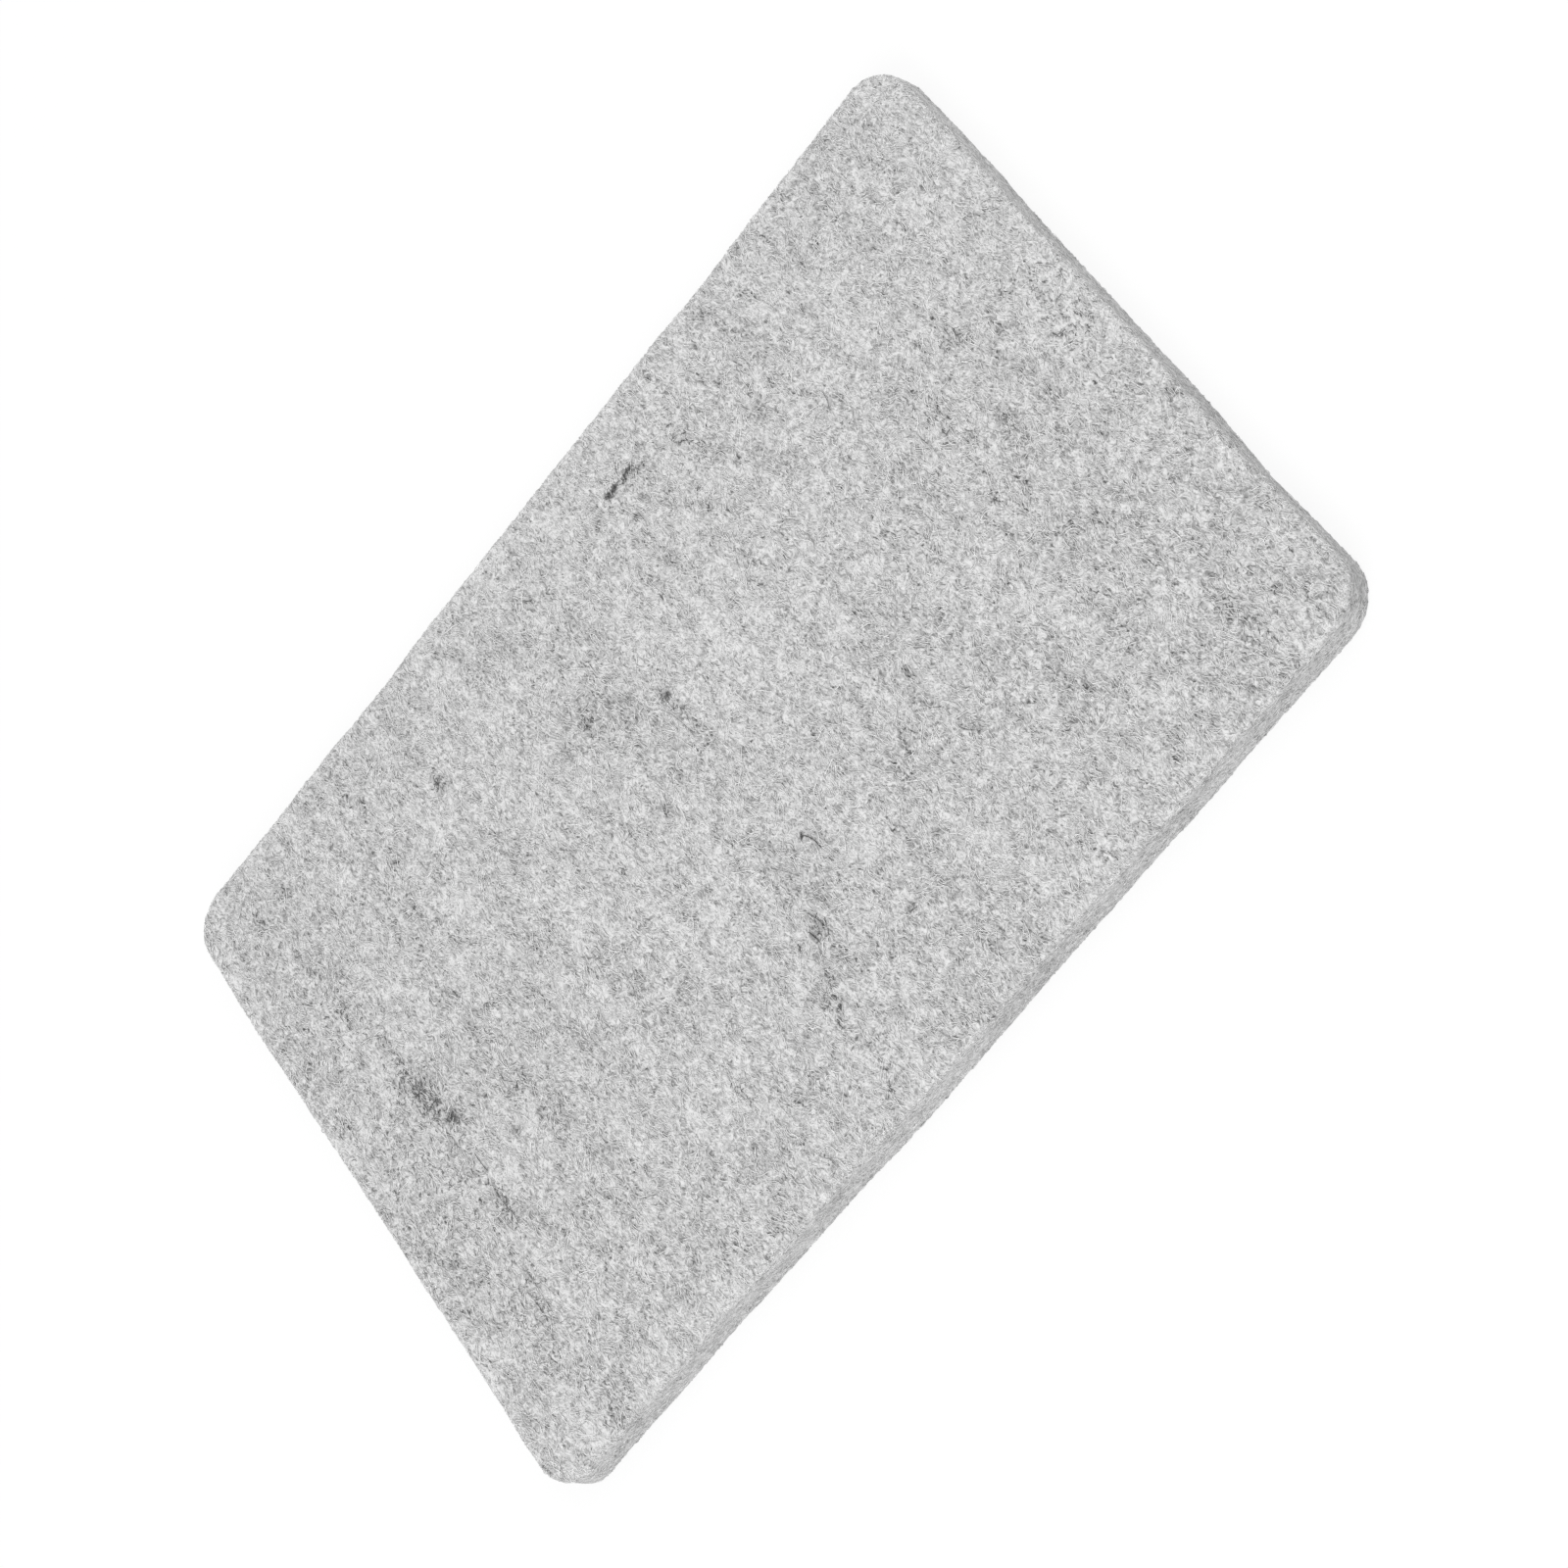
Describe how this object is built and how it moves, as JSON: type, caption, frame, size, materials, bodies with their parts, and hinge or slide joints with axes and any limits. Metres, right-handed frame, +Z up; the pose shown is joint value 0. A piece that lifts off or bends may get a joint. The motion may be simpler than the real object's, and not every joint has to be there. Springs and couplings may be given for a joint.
{
  "type": "ironing pad",
  "caption": "Flat rectangular ironing pad of thick light grey wool felt with rounded corners, laid on a table to press garments and small sewn pieces on.",
  "frame": {"origin": "middle of the pad's underside, on the surface that it lies on", "axes": "+X along the long side, +Y along the short side, +Z up out of the pressing face"},
  "size_m": [0.21, 0.14, 0.0065],
  "materials": {
    "wool_felt": "matte light grey wool felt, mottled, with short curly fibres"
  },
  "bodies": {
    "root": {"felt_pad": "wool_felt"}
  },
  "joints": []
}
